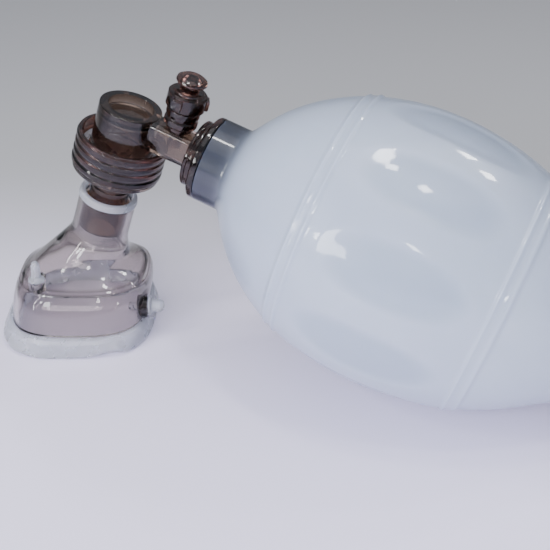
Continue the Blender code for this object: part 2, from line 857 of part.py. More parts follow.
def main():
    clear_scene()
    smoke = material("smoke_plastic", (0.05, 0.035, 0.038), 0.12)
    clear = material("clear_plastic", (0.42, 0.42, 0.44), 0.1)
    amber = material("amber_plastic", (0.2, 0.13, 0.12), 0.12)
    shell = material("shell_plastic", (0.36, 0.34, 0.35), 0.12)
    bag = material("bag_silicone", (0.5, 0.6, 0.68), 0.35)
    silicone = material("soft_silicone", (0.72, 0.76, 0.8), 0.4)
    steel = material("spring_steel", (0.6, 0.6, 0.62), 0.3, 1.0)
    valve = empty("valve_axis", (0, 0, HEIGHT), (0, TILT, 0))
    bag_axis = empty("bag_axis", (0, 0, 0), (0, pi / 2, 0), valve)
    relief = empty("relief_axis", (RELIEF_X, 0, 0), (0, 0, 0), valve)
    mask = empty("mask_foot", (-HEIGHT * tan(TILT), 0, 0), (0, 0, MASK_TURN))
    squeeze_bag(bag_axis, bag)
    neck_parts(bag_axis, smoke, silicone)
    rear_parts(bag_axis, smoke, clear, silicone)
    valve_housing(valve, clear)
    drum_parts(valve, smoke, clear, silicone)
    connector_parts(valve, amber, silicone)
    collar_ring(valve, silicone)
    relief_parts(relief, smoke, clear, silicone, steel)
    mask_shell(mask, shell)
    mask_plugs(mask, silicone)
    mask_cuff(mask, silicone)
    centre_on_origin(valve, mask)


main()
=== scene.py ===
"""Looks of the bag valve mask: fine meshes, materials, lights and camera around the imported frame.

Shapes are made in three places, all in millimetres: the valve frame (origin where the valve's axis
crosses the bag's axis, Z up the valve, X to the rear), the bag and relief frames that follow from it,
and the mask frame, upright where the valve's axis meets the table and turned a little about Z.
"""

import json
from math import cos, exp, pi, radians, sin, tan

import bmesh
import bpy
from mathutils import Matrix, Vector, noise

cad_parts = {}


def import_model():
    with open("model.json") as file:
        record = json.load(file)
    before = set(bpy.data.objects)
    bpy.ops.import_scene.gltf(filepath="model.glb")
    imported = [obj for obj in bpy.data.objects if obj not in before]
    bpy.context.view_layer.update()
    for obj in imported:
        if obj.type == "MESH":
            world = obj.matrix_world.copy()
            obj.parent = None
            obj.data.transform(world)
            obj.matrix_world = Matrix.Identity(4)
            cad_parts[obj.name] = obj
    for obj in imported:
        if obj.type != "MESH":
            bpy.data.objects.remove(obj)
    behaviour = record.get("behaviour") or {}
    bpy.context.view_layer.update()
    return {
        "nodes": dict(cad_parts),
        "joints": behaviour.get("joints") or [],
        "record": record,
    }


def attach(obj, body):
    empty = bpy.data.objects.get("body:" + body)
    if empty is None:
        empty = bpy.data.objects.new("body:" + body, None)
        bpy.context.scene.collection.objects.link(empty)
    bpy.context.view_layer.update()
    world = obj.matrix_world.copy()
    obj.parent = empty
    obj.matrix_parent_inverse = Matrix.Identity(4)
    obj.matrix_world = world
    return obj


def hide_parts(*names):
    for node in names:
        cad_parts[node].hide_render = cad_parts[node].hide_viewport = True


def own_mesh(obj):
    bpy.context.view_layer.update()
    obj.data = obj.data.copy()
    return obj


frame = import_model()

MM = 0.001
FINE = 96
FINEST = 144
GAP = 0.3
ON_AXIS = 0.05
IN_PLANE = 0.03
JOINTS = {joint["name"]: joint for joint in frame["joints"]}
BODY_OF = {n: body for body, members in frame["record"]["behaviour"]["bodies"].items() for n in members}
SLOT_OF = {part["node"]: part["material_slot"] for part in frame["record"]["subparts"]}


# Places


def valve_place():
    """Valve frame from the joints: X along the valve's swivel, Z along the connector's."""
    x_axis = Vector(JOINTS["valve_swivel"]["axis"]).normalized()
    z_axis = Vector(JOINTS["connector_swivel"]["axis"]).normalized()
    turn = Matrix((x_axis, z_axis.cross(x_axis), z_axis)).transposed().to_4x4()
    return Matrix.Translation(JOINTS["valve_swivel"]["pos_m"]) @ turn @ Matrix.Scale(MM, 4)


VALVE = valve_place()
BAG = VALVE @ Matrix.Rotation(pi / 2, 4, "Y")
RELIEF_X = (VALVE.inverted() @ Vector(JOINTS["relief_lock_turn"]["pos_m"])).x
RELIEF = VALVE @ Matrix.Translation((RELIEF_X, 0, 0))
UP_VALVE = (VALVE.to_3x3() @ Vector((0, 0, 1))).normalized()
ORIGIN = VALVE.translation.copy()
TILT = UP_VALVE.angle(Vector((0, 0, 1)))
HEIGHT = ORIGIN.z / MM
MASK_TURN = radians(20.0)
MASK_FOOT = Vector((ORIGIN.x - ORIGIN.z * tan(TILT), 0, 0))
MASK = Matrix.Translation(MASK_FOOT) @ Matrix.Rotation(MASK_TURN, 4, "Z") @ Matrix.Scale(MM, 4)


def span(node, place):
    """Lowest and highest corner of a CAD node in a place's own axes, in millimetres."""
    inward = place.inverted()
    points = [inward @ vertex.co for vertex in frame["nodes"][node].data.vertices]
    return [Vector([pick(p[axis] for p in points) for axis in range(3)]) for pick in (min, max)]


def middle_of(node, place):
    """Shift to the middle of a CAD node, in a place's own axes."""
    low, high = span(node, place)
    return Matrix.Translation((low + high) / 2)


def outline_of(node, place):
    """Half section of a turned CAD node: (radius, height) points in order, closed or from axis to axis.

    A flat face may have no edge in the section's plane. If it is a ring, its two rims are joined here,
    and if it is a disc, its rim is joined to the axis.
    """
    mesh = frame["nodes"][node].data
    inward = place.inverted()
    keys = [tuple(round(c, 2) for c in inward @ vertex.co) for vertex in mesh.vertices]
    links = {}
    for edge in mesh.edges:
        a, b = (keys[i] for i in edge.vertices)
        in_plane = max(abs(a[1]), abs(b[1])) < IN_PLANE and min(a[0], b[0]) > -IN_PLANE
        if a != b and in_plane:
            a, b = (abs(a[0]), a[2]), (abs(b[0]), b[2])
            links.setdefault(a, set()).add(b)
            links.setdefault(b, set()).add(a)
    loose = sorted((p for p in links if len(links[p]) == 1 and p[0] > ON_AXIS), key=lambda p: (p[1], p[0]))
    while len(loose) > 1:
        a, b = loose[0], loose[1]
        if abs(a[1] - b[1]) < IN_PLANE:
            links[a].add(b)
            links[b].add(a)
            loose = loose[2:]
        else:
            loose = loose[1:]
    ends = [p for p in links if p[0] <= ON_AXIS] or [p for p in links if len(links[p]) == 1]
    chain = [min(ends, key=lambda p: p[1]) if ends else min(links)]
    while True:
        along_axis = [p for p in links[chain[-1]] if p[0] <= ON_AXIS and len(chain) == 1]
        onward = [p for p in links[chain[-1]] if p not in chain and p not in along_axis]
        if not onward:
            break
        chain.append(onward[0])
    if not ends:
        return chain
    to_axis = [[(0.0, tip[1])] if tip[0] > ON_AXIS else [] for tip in (chain[0], chain[-1])]
    return to_axis[0] + chain + to_axis[1]


# Mesh tools


def placed(name, bm, place, sharp=40.0):
    """Turns a bmesh in a place's millimetres into an object whose mesh lies in the row frame."""
    bmesh.ops.recalc_face_normals(bm, faces=bm.faces)
    bm.transform(place)
    mesh = bpy.data.meshes.new(name)
    bm.to_mesh(mesh)
    bm.free()
    mesh.shade_smooth()
    mesh.set_sharp_from_angle(angle=radians(sharp))
    made = bpy.data.objects.new(name, mesh)
    bpy.context.scene.collection.objects.link(made)
    return made


def softened(outline, radius, closed, arc=4, least=18.0):
    """Rounds each corner of an outline to a radius, or to what its shorter side leaves room for."""
    rounded = []
    count = len(outline)
    for i, (x, z) in enumerate(outline):
        if not closed and i in (0, count - 1):
            rounded.append((x, z))
            continue
        corner = Vector((x, z))
        back = Vector(outline[i - 1]) - corner
        ahead = Vector(outline[(i + 1) % count]) - corner
        bend = pi - back.angle(ahead)
        if bend < radians(least):
            rounded.append((x, z))
            continue
        room = 0.45 * min(back.length, ahead.length)
        reach = min(radius * tan(bend / 2), room)
        start = corner + back.normalized() * reach
        end = corner + ahead.normalized() * reach
        for step in range(arc + 1):
            t = step / arc
            point = start * (1 - t) ** 2 + corner * 2 * t * (1 - t) + end * t**2
            rounded.append((max(point.x, 0.0), point.y))
    return rounded


def spun(outline, closed=True, steps=FINE):
    """A bmesh turned about Z from (radius, height) points."""
    bm = bmesh.new()
    corners = [bm.verts.new((radius, 0.0, height)) for radius, height in outline]
    first = 0 if closed else 1
    edges = [bm.edges.new((corners[i - 1], corners[i])) for i in range(first, len(corners))]
    bmesh.ops.spin(
        bm, geom=corners + edges, cent=(0, 0, 0), axis=(0, 0, 1), angle=2 * pi, steps=steps, use_merge=True
    )
    bmesh.ops.remove_doubles(bm, verts=bm.verts, dist=1e-4)
    bmesh.ops.dissolve_degenerate(bm, edges=bm.edges, dist=1e-5)
    return bm


def loft(rings, closed=True):
    """A bmesh skin over rings of points, the last joined to the first when closed."""
    bm = bmesh.new()
    rows = [[bm.verts.new(point) for point in ring] for ring in rings]
    pairs = list(zip(rows, rows[1:] + rows[:1])) if closed else list(zip(rows, rows[1:]))
    for lower, upper in pairs:
        for i in range(len(lower)):
            j = (i + 1) % len(lower)
            bm.faces.new((lower[i], lower[j], upper[j], upper[i]))
    return bm


def block(size, centre, bevel, segments=5):
    """A bmesh bar along X with its long edges rounded."""
    bm = bmesh.new()
    bmesh.ops.create_cube(bm, size=1.0)
    bm.transform(Matrix.Translation(centre) @ Matrix.Diagonal((*size, 1.0)))
    long_edges = [e for e in bm.edges if abs((e.verts[0].co - e.verts[1].co).normalized().x) > 0.9]
    bmesh.ops.bevel(bm, geom=long_edges, offset=bevel, segments=segments, profile=0.5, affect="EDGES")
    return bm


def combine(target, bm, operation, place, sharp=40.0):
    """Adds or cuts a helper shape with an exact Boolean, applied at once."""
    helper = placed(target.name + "_helper", bm, place)
    step = target.modifiers.new(operation.lower(), "BOOLEAN")
    step.operation = operation
    step.solver = "EXACT"
    step.object = helper
    bpy.context.view_layer.update()
    result = bpy.data.meshes.new_from_object(target.evaluated_get(bpy.context.evaluated_depsgraph_get()))
    target.modifiers.clear()
    target.data = result
    bpy.data.objects.remove(helper, do_unlink=True)
    target.data.shade_smooth()
    target.data.set_sharp_from_angle(angle=radians(sharp))


def dress(piece, *nodes):
    """The piece stands for its CAD nodes, on their body and in their slot's material."""
    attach(piece, BODY_OF[nodes[0]])
    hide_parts(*nodes)
    piece.data.materials.clear()
    piece.data.materials.append(SURFACES[SLOT_OF[nodes[0]]])
    return piece


def store(piece, name, values):
    """Keeps one value for each vertex of a piece, for its material to read."""
    painted = piece.data.attributes.new(name, "FLOAT", "POINT")
    painted.data.foreach_set("value", values)


def thicken_tint(piece, place, tint_at):
    """Stores how deep a clear piece's tint is at each vertex, from its position in a place's millimetres."""
    inward = place.inverted()
    store(piece, "thick", [tint_at(inward @ vertex.co) for vertex in piece.data.vertices])


def turned_like(node, place, radius, steps=FINE):
    """A fine turned piece on a CAD node's own half section, with its corners rounded."""
    outline = outline_of(node, place)
    closed = outline[0][0] > ON_AXIS
    smooth = softened(outline, radius, closed)
    return dress(placed(node + "_fine", spun(smooth, closed, steps), place), node)


# Materials

NOISE_SPREAD = (0.3, 0.7)
EDGE_FACING = (0.5, 0.92)


def node_of(tree, kind, **values):
    """A new shader node, with its properties or input sockets set by name."""
    made = tree.nodes.new(kind)
    for key, value in values.items():
        if hasattr(made, key):
            setattr(made, key, value)
        else:
            made.inputs[key.replace("_", " ")].default_value = value
    return made


def principled(name, **values):
    """A material with one Principled shader whose sockets are set by name."""
    made = bpy.data.materials.new(name)
    made.use_nodes = True
    shader = made.node_tree.nodes["Principled BSDF"]
    for key, value in values.items():
        shader.inputs[key.replace("_", " ")].default_value = value
    return made, made.node_tree, shader


def remapped(tree, value, spread, low=0.0, high=1.0, interpolation="LINEAR"):
    """A value socket carried from its spread to the range between low and high."""
    remap = node_of(tree, "ShaderNodeMapRange", interpolation_type=interpolation)
    remap.inputs["From Min"].default_value, remap.inputs["From Max"].default_value = spread
    remap.inputs["To Min"].default_value = low
    remap.inputs["To Max"].default_value = high
    tree.links.new(value, remap.inputs["Value"])
    return remap.outputs["Result"]


def noise_between(tree, scale, low, high, detail=4.0, stretch=(1, 1, 1)):
    """A noise pattern in object space, as a value between low and high."""
    where = node_of(tree, "ShaderNodeTexCoord")
    mapping = node_of(tree, "ShaderNodeMapping")
    mapping.inputs["Scale"].default_value = stretch
    tree.links.new(where.outputs["Object"], mapping.inputs["Vector"])
    pattern = node_of(tree, "ShaderNodeTexNoise", Scale=scale, Detail=detail)
    tree.links.new(mapping.outputs["Vector"], pattern.inputs["Vector"])
    return remapped(tree, pattern.outputs["Fac"], NOISE_SPREAD, low, high)


def mixed(tree, factor, first, second):
    """A colour between two, by a factor socket. Each may be a colour or a socket."""
    mix = node_of(tree, "ShaderNodeMix", data_type="RGBA")
    tree.links.new(factor, mix.inputs["Factor"])
    for socket, colour in (("A", first), ("B", second)):
        target = [s for s in mix.inputs if s.name == socket and s.type == "RGBA"][0]
        if isinstance(colour, bpy.types.NodeSocket):
            tree.links.new(colour, target)
        else:
            target.default_value = (*colour, 1.0)
    return [s for s in mix.outputs if s.type == "RGBA"][0]


def bumped(tree, shader, height, strength, distance):
    """Small relief on a shader's surface, from a height socket."""
    bump = node_of(tree, "ShaderNodeBump", Strength=strength, Distance=distance)
    tree.links.new(height, bump.inputs["Height"])
    tree.links.new(bump.outputs["Normal"], shader.inputs["Normal"])


def bag_surface():
    """Satin blue-grey silicone with painted shade: darker in the grip recesses, and nearly black where the
    spigot fills the neck, standing for the spigot seen through the wall.
    """
    made, tree, shader = principled(
        "bag_silicone_look",
        Subsurface_Weight=0.4,
        Subsurface_Radius=(0.7, 0.8, 1.0),
        Subsurface_Scale=0.006,
        IOR=1.42,
        Coat_Weight=0.6,
        Coat_Roughness=0.05,
    )
    clouds = mixed(tree, noise_between(tree, 16.0, 0.0, 1.0), (0.35, 0.41, 0.52), (0.40, 0.46, 0.57))
    # painted shade: the floors of the grip recesses get a darker blue-grey than the rest of the bag
    recess_shade = node_of(tree, "ShaderNodeAttribute", attribute_name="recess_shade")
    hollow = mixed(tree, recess_shade.outputs["Fac"], clouds, (0.31, 0.37, 0.48))
    # painted shade: nearly black where the spigot fills the neck, standing for the spigot seen through the
    # wall
    neck = node_of(tree, "ShaderNodeAttribute", attribute_name="neck")
    colour = mixed(tree, neck.outputs["Fac"], hollow, (0.02, 0.025, 0.04))
    tree.links.new(colour, shader.inputs["Base Color"])
    tree.links.new(noise_between(tree, 60.0, 0.30, 0.42), shader.inputs["Roughness"])
    bumped(tree, shader, noise_between(tree, 420.0, 0.0, 1.0), 0.05, 0.0002)
    return made


def soft_surface():
    """Milky translucent silicone of the cuff, plugs and rings."""
    made, tree, shader = principled(
        "soft_silicone_look",
        Transmission_Weight=0.72,
        Subsurface_Weight=0.2,
        Subsurface_Radius=(0.8, 0.9, 1.0),
        Subsurface_Scale=0.004,
        IOR=1.4,
    )
    colour = mixed(tree, noise_between(tree, 45.0, 0.0, 1.0), (0.66, 0.69, 0.76), (0.75, 0.77, 0.83))
    tree.links.new(colour, shader.inputs["Base Color"])
    tree.links.new(noise_between(tree, 90.0, 0.22, 0.34), shader.inputs["Roughness"])
    bumped(tree, shader, noise_between(tree, 300.0, 0.0, 1.0), 0.08, 0.0002)
    return made


def clear_surface(name, dark, light, thick, edge, roughness, ior=1.5):
    """Tinted clear plastic with faint handling marks.

    Its tint wanders between dark and light, goes to thick where the "thick" value is high, and to edge
    where the surface is seen nearly along itself.
    """
    made, tree, shader = principled(name, Transmission_Weight=1.0, IOR=ior)
    tint = mixed(tree, noise_between(tree, 22.0, 0.0, 1.0), dark, light)
    wall = node_of(tree, "ShaderNodeAttribute", attribute_name="thick")
    tint = mixed(tree, wall.outputs["Fac"], tint, thick)
    facing = node_of(tree, "ShaderNodeLayerWeight", Blend=0.5)
    tint = mixed(tree, remapped(tree, facing.outputs["Facing"], EDGE_FACING), tint, edge)
    tree.links.new(tint, shader.inputs["Base Color"])
    marks = noise_between(tree, 130.0, roughness * 0.7, roughness * 1.6, stretch=(1, 1, 0.25))
    tree.links.new(marks, shader.inputs["Roughness"])
    bumped(tree, shader, noise_between(tree, 75.0, 0.0, 1.0, detail=1.0), 0.05, 0.0006)
    return made


def steel_surface():
    """Drawn steel wire with a slightly uneven polish."""
    made, tree, shader = principled("spring_steel_look", Metallic=1.0)
    colour = mixed(tree, noise_between(tree, 500.0, 0.0, 1.0), (0.5, 0.5, 0.52), (0.68, 0.68, 0.7))
    tree.links.new(colour, shader.inputs["Base Color"])
    tree.links.new(noise_between(tree, 900.0, 0.22, 0.4), shader.inputs["Roughness"])
    return made


SURFACES = {
    "bag_silicone": bag_surface(),
    "soft_silicone": soft_surface(),
    "shell_plastic": clear_surface(
        "shell_plastic_look",
        dark=(0.78, 0.72, 0.71),
        light=(0.84, 0.78, 0.77),
        thick=(0.10, 0.07, 0.06),
        edge=(0.05, 0.035, 0.03),
        roughness=0.05,
        ior=1.46,
    ),
    "smoke_plastic": clear_surface(
        "smoke_plastic_look",
        dark=(0.13, 0.06, 0.045),
        light=(0.20, 0.10, 0.08),
        thick=(0.05, 0.03, 0.03),
        edge=(0.03, 0.02, 0.02),
        roughness=0.09,
    ),
    "clear_plastic": clear_surface(
        "clear_plastic_look",
        dark=(0.42, 0.33, 0.27),
        light=(0.50, 0.40, 0.34),
        thick=(0.13, 0.085, 0.065),
        edge=(0.05, 0.03, 0.02),
        roughness=0.05,
    ),
    "amber_plastic": clear_surface(
        "amber_plastic_look",
        dark=(0.26, 0.14, 0.07),
        light=(0.34, 0.19, 0.11),
        thick=(0.10, 0.06, 0.04),
        edge=(0.06, 0.04, 0.03),
        roughness=0.07,
    ),
    "spring_steel": steel_surface(),
}


# Squeeze bag

BAG_FRONT = 44.8
BAG_MIDDLE = 143.0
BAG_REAR = 242.5
BAG_RADIUS = 64.5
BAG_FRONT_REACH = 87.0
BAG_REAR_REACH = 93.0
BAG_WALL = 2.8
NECK_BLEND = 3.5
NECK_RADIUS = 20.0
REAR_NECK_RADIUS = 33.0
BAND_CENTRES = (102.5, 190.5)
BAND_HALF_WIDTH = 3.4
BAND_STEP = 0.45
RIDGE_AWAY = 2.5
BAND_RIDGE = 0.6
BAND_RIDGE_WIDTH = 0.75
GRIPS = 10
GRIP_LENGTH = 71.0
GRIP_SPAN = radians(27.0)
GRIP_DEPTH = 0.7
GRIP_EDGE = 0.7
NECK_DARK_TO = 59.5
NECK_FADE = 1.6
BAG_SIDES = 400
BAG_STEP = 0.75


def bag_radius(x):
    """Outer radius of the plain bag at a place on its axis: two half ellipses that run into the necks."""
    at_front = x < BAG_MIDDLE
    share = min(abs(x - BAG_MIDDLE) / (BAG_FRONT_REACH if at_front else BAG_REAR_REACH), 1.0)
    belly = BAG_RADIUS * (1.0 - share**2) ** 0.5
    neck = NECK_RADIUS if at_front else REAR_NECK_RADIUS
    with_neck = (belly**NECK_BLEND + neck**NECK_BLEND) ** (1.0 / NECK_BLEND)
    return belly + (with_neck - belly) * share**2


def band_height(x):
    """Each moulded band is a low step with a ridge along both of its edges."""
    height = 0.0
    for centre in BAND_CENTRES:
        away = x - centre
        height += BAND_STEP * exp(-((away / BAND_HALF_WIDTH) ** 6))
        for side in (-RIDGE_AWAY, RIDGE_AWAY):
            height += BAND_RIDGE * exp(-(((away - side) / BAND_RIDGE_WIDTH) ** 2))
    return height


def grip_share(x, angle):
    """0 outside the oval finger recesses, 1 on their floors, with a soft step between."""
    pitch = 2 * pi / GRIPS
    off_centre = (angle + pitch / 2) % pitch - pitch / 2
    along = (x - sum(BAND_CENTRES) / 2) / (GRIP_LENGTH / 2)
    across = off_centre / (GRIP_SPAN / 2)
    inside = min(max((1.0 - abs(along) ** 2.6 - abs(across) ** 2.2) / GRIP_EDGE, 0.0), 1.0)
    return inside * inside * (3 - 2 * inside)


def spigot_shade_share(x):
    """How much painted shade the neck gets: 1 where the dark spigot fills the bag's neck, 0 past its end."""
    return 1.0 / (1.0 + exp((x - NECK_DARK_TO) / NECK_FADE))


def squeeze_bag():
    """Outer skin with bands and grip recesses, and a plain inner skin, joined at the two necks."""
    count = round((BAG_REAR - BAG_FRONT) / BAG_STEP)
    places = [BAG_FRONT + (BAG_REAR - BAG_FRONT) * i / count for i in range(count + 1)]
    angles = [2 * pi * side / BAG_SIDES for side in range(BAG_SIDES)]
    rings = []
    shares = []
    necks = []
    for x in places:
        plain = bag_radius(x) + band_height(x)
        depths = [grip_share(x, a) for a in angles]
        ring = [plain - GRIP_DEPTH * depth for depth in depths]
        rings.append([(-r * cos(a), r * sin(a), x) for r, a in zip(ring, angles)])
        shares += depths
        necks += [spigot_shade_share(x)] * BAG_SIDES
    for x in reversed(places[::6] + [BAG_REAR]):
        r = bag_radius(x) - BAG_WALL
        rings.append([(-r * cos(a), r * sin(a), x) for a in angles])
        shares += [0.0] * BAG_SIDES
        necks += [spigot_shade_share(x)] * BAG_SIDES
    bm = loft(rings)
    bm.verts.index_update()
    piece = placed("squeeze_bag_fine", bm, BAG, sharp=60.0)
    # painted shade for the grip recesses, kept on each vertex for the material
    store(piece, "recess_shade", shares)
    # painted shade where the spigot fills the neck, kept on each vertex for the material
    store(piece, "neck", necks)
    dress(piece, "squeeze_bag")


# Patient valve

CYLINDER_RADIUS = 15.0
CYLINDER_TOP = 7.8
CYLINDER_FOOT = -14.0
RIM_DEPTH = 1.2
CHAMBER_RADIUS = 12.5
CHAMBER_TOP = 2.0
WELL_RADIUS = 11.0
WELL_FLOOR = 3.4
ARM_WIDTH = 13.0
ARM_TOP = 7.4
ARM_FOOT = -7.6
ARM_END = 35.5
ARM_WALL = 1.8
NUT_FRONT = 35.9
JOURNAL_RADIUS = 9.0
JOURNAL_COLLAR = 11.8
JOURNAL_START = 34.0
JOURNAL_END = 51.5
JOURNAL_BORE = 4.6
RELIEF_BORE = 3.8


def upright(bm):
    """Leaves a shape made along Z as it is."""
    return bm


def along_x(bm):
    """Lays a shape made along Z down along X."""
    bm.transform(Matrix.Rotation(pi / 2, 4, "Y"))
    return bm


def rod(radius, low, high, edge=0.0):
    """A solid cylinder along Z, with its edges rounded if asked."""
    outline = [(0.0, low), (radius, low), (radius, high), (0.0, high)]
    return spun(softened(outline, edge, closed=False) if edge else outline, closed=False)


def housing_tint(point):
    """How deep the housing's tint is: most in the rim of its cylinder, none in the arm."""
    if Vector((point.x, point.y)).length > CYLINDER_RADIUS + GAP:
        return 0.0
    return 1.0 if point.z > CYLINDER_TOP - RIM_DEPTH else 0.25


def valve_housing():
    """Open cylinder with its arm to the bag, hollow where the gas flows."""
    cylinder = rod(CYLINDER_RADIUS, CYLINDER_FOOT, CYLINDER_TOP, 0.8)
    housing = placed("valve_housing_fine", cylinder, VALVE)
    arm_height = ARM_TOP - ARM_FOOT
    arm_middle = (ARM_TOP + ARM_FOOT) / 2
    arm = block((ARM_END - 4.0, ARM_WIDTH, arm_height), ((ARM_END + 4.0) / 2, 0, arm_middle), bevel=2.6)
    combine(housing, arm, "UNION", VALVE)
    journal = [
        (0, JOURNAL_START),
        (JOURNAL_RADIUS, JOURNAL_START),
        (JOURNAL_RADIUS, NUT_FRONT + 2.2),
        (JOURNAL_COLLAR, NUT_FRONT + 2.2),
        (JOURNAL_COLLAR, NUT_FRONT + 4.6),
        (JOURNAL_RADIUS, NUT_FRONT + 4.6),
        (JOURNAL_RADIUS, JOURNAL_END),
        (0, JOURNAL_END),
    ]
    combine(housing, along_x(spun(softened(journal, 0.3, False), False)), "UNION", VALVE)
    combine(housing, rod(CHAMBER_RADIUS, CYLINDER_FOOT - 2.0, CHAMBER_TOP, 1.0), "DIFFERENCE", VALVE)
    combine(housing, rod(WELL_RADIUS, WELL_FLOOR, CYLINDER_TOP + 2.0, 1.2), "DIFFERENCE", VALVE)
    bore = ARM_WIDTH - 2 * ARM_WALL
    height = arm_height - 2 * ARM_WALL
    passage = block((ARM_END - 19.0, bore, height), ((ARM_END + 16.0) / 2 - 0.5, 0, arm_middle), bevel=1.6)
    combine(housing, passage, "DIFFERENCE", VALVE)
    mouth_height = CHAMBER_TOP - ARM_FOOT - ARM_WALL - 0.4
    mouth_middle = (13.0, 0, CHAMBER_TOP - 0.3 - mouth_height / 2)
    mouth = block((14.0, bore - 0.4, mouth_height), mouth_middle, bevel=1.2)
    combine(housing, mouth, "DIFFERENCE", VALVE)
    combine(housing, along_x(rod(JOURNAL_BORE, 30.0, 56.0)), "DIFFERENCE", VALVE)
    combine(housing, rod(RELIEF_BORE, 3.0, 14.0), "DIFFERENCE", RELIEF)
    thicken_tint(housing, VALVE, housing_tint)
    dress(housing, "valve_housing")


LUGS = 3
LUG_SIZE = (5.0, 1.9, 5.0)
LUG_TURN = radians(25)
LUG_SINK = 1.2
LUG_RISE = 3.4


def lock_ring():
    """Cap of the relief valve's barrel, with lugs to turn it by."""
    ring = turned_like("relief_lock_ring", RELIEF, 0.4)
    low, high = span("relief_lock_ring", RELIEF)
    reach = max(-low.x, high.x, -low.y, high.y)
    for turn in range(LUGS):
        lug = block(LUG_SIZE, (0, 0, 0), bevel=0.8)
        lug.transform(Matrix.Rotation(pi / 2, 4, "Z"))
        lug.transform(Matrix.Translation((reach - LUG_SINK, 0, low.z + LUG_RISE)))
        lug.transform(Matrix.Rotation(turn * 2 * pi / LUGS + LUG_TURN, 4, "Z"))
        combine(ring, lug, "UNION", RELIEF)


WIRE_RADIUS = 0.3
WIRE_SIDES = 10
COIL_TURNS = 4
COIL_STEPS = 40


def relief_spring():
    """Round wire on a helix with a flat face at each end."""
    low, high = span("relief_spring", RELIEF)
    radius = high.x - WIRE_RADIUS
    circle = [2 * pi * side / WIRE_SIDES for side in range(WIRE_SIDES)]
    rings = []
    points = COIL_TURNS * COIL_STEPS
    for step in range(points + 1):
        share = step / points
        angle = 2 * pi * COIL_TURNS * share
        height = low.z + WIRE_RADIUS + (high.z - low.z - 2 * WIRE_RADIUS) * share
        centre = Vector((radius * cos(angle), radius * sin(angle), height))
        outward = Vector((cos(angle), sin(angle), 0))
        rings.append([centre + WIRE_RADIUS * (outward * cos(a) + Vector((0, 0, 1)) * sin(a)) for a in circle])
    bm = loft(rings, closed=False)
    bm.verts.ensure_lookup_table()
    bm.faces.new(bm.verts[:WIRE_SIDES])
    bm.faces.new(bm.verts[-WIRE_SIDES:])
    piece = dress(placed("relief_spring_fine", bm, RELIEF), "relief_spring")
    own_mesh(piece)


# Face mask

SHELL_WALL = 2.0
COLLAR_RADIUS = 14.0
COLLAR_BORE = 11.4
COLLAR_TOP = -44.3
SHELL_FOOT = 10.5
SHELL_HALF_X = 34.2
SHELL_HALF_Y = 38.5
SHELL_POWER = 3.0
MASK_SHIFT = 2.5
MASK_ROUND = 160
MASK_RINGS = 110
LEFT_PLUG = Vector((-13.9, -24.6, 0.0))
LEFT_SEAT = 33.9
LEFT_BOSS_RADIUS = 4.4
LEFT_BORE = 2.0
RIGHT_PLUG = Vector((0.0, -19.0, 16.8))
RIGHT_SEAT = 40.0
RIGHT_BOSS_RADIUS = 5.9
RIGHT_BORE = 2.6
OUT_OF_BOSS = 9.0
SHELL_SECTIONS = (
    # height, half along X, half along Y, power of the outline, share of the valve's lean
    (SHELL_FOOT, SHELL_HALF_X, SHELL_HALF_Y, SHELL_POWER, 0.0),
    (17.0, 34.6, 36.5, SHELL_POWER, 0.0),
    (23.0, 34.4, 34.5, SHELL_POWER, 0.0),
    (28.0, 33.4, 32.2, 2.9, 0.0),
    (31.5, 31.0, 29.2, 2.7, 0.0),
    (35.0, 26.8, 25.4, 2.4, 0.1),
    (39.0, 22.6, 21.8, 2.2, 0.3),
    (43.5, 18.8, 18.6, 2.1, 0.6),
    (48.0, 16.2, 16.2, 2.0, 0.9),
    (52.0, 14.6, 14.6, 2.0, 1.0),
    (57.0, COLLAR_RADIUS, COLLAR_RADIUS, 2.0, 1.0),
    (HEIGHT + COLLAR_TOP * cos(TILT), COLLAR_RADIUS, COLLAR_RADIUS, 2.0, 1.0),
)
RIDGE_AT = 30.2
RIDGE_HEIGHT = 0.45
RIDGE_WIDTH = 0.75
COLLAR_TINT = 0.4
COLLAR_TINT_FROM = 50.0
COLLAR_TINT_FADE = 1.5
SHOULDER_FOOT = 25.0
SHOULDER_TOP = 45.0
SHOULDER_DROP = 0.6
LIP_WAVE = 0.02
LIP_REACH = 4.4
LIP_CURLS = (
    # angle round the mask, width of the curl, height
    (radians(293), 0.20, 3.0),
    (radians(205), 0.30, 1.8),
    (radians(110), 0.30, 2.4),
)


def mask_section(height, half_x, half_y, power, lean, wave=0.0):
    """Points round the mask at one height: a superellipse, at lean 1 square to the valve's axis.

    A wave swells and shrinks the outline a little, as a soft lip does.
    """
    back = Matrix.Rotation(-MASK_TURN, 3, "Z")
    lie = back @ Matrix.Rotation(TILT * lean, 3, "Y") @ Matrix.Rotation(MASK_TURN, 3, "Z")
    centre = back @ Vector((height * tan(TILT) * (1 + lean) / 2 + MASK_SHIFT * (1 - lean), 0, height))
    points = []
    for step in range(MASK_ROUND):
        angle = 2 * pi * step / MASK_ROUND
        swell = 1.0 + wave * noise.noise((2.2 * cos(angle), 2.2 * sin(angle), height * 0.2))
        x = half_x * swell * abs(cos(angle)) ** (2 / power) * (1 if cos(angle) >= 0 else -1)
        y = half_y * swell * abs(sin(angle)) ** (2 / power) * (1 if sin(angle) >= 0 else -1)
        points.append(centre + lie @ Vector((x, y, 0)))
    return points


def between(sections, share):
    """A section part of the way up a list of sections, on a smooth curve through them."""
    place = share * (len(sections) - 1)
    i = min(int(place), len(sections) - 2)
    t = place - i
    before, after = sections[max(i - 1, 0)], sections[min(i + 2, len(sections) - 1)]
    made = []
    for p0, p1, p2, p3 in zip(before, sections[i], sections[i + 1], after):
        curve = 2 * p1 + (p2 - p0) * t + (2 * p0 - 5 * p1 + 4 * p2 - p3) * t**2
        made.append((curve + (3 * p1 - p0 - 3 * p2 + p3) * t**3) / 2)
    return made


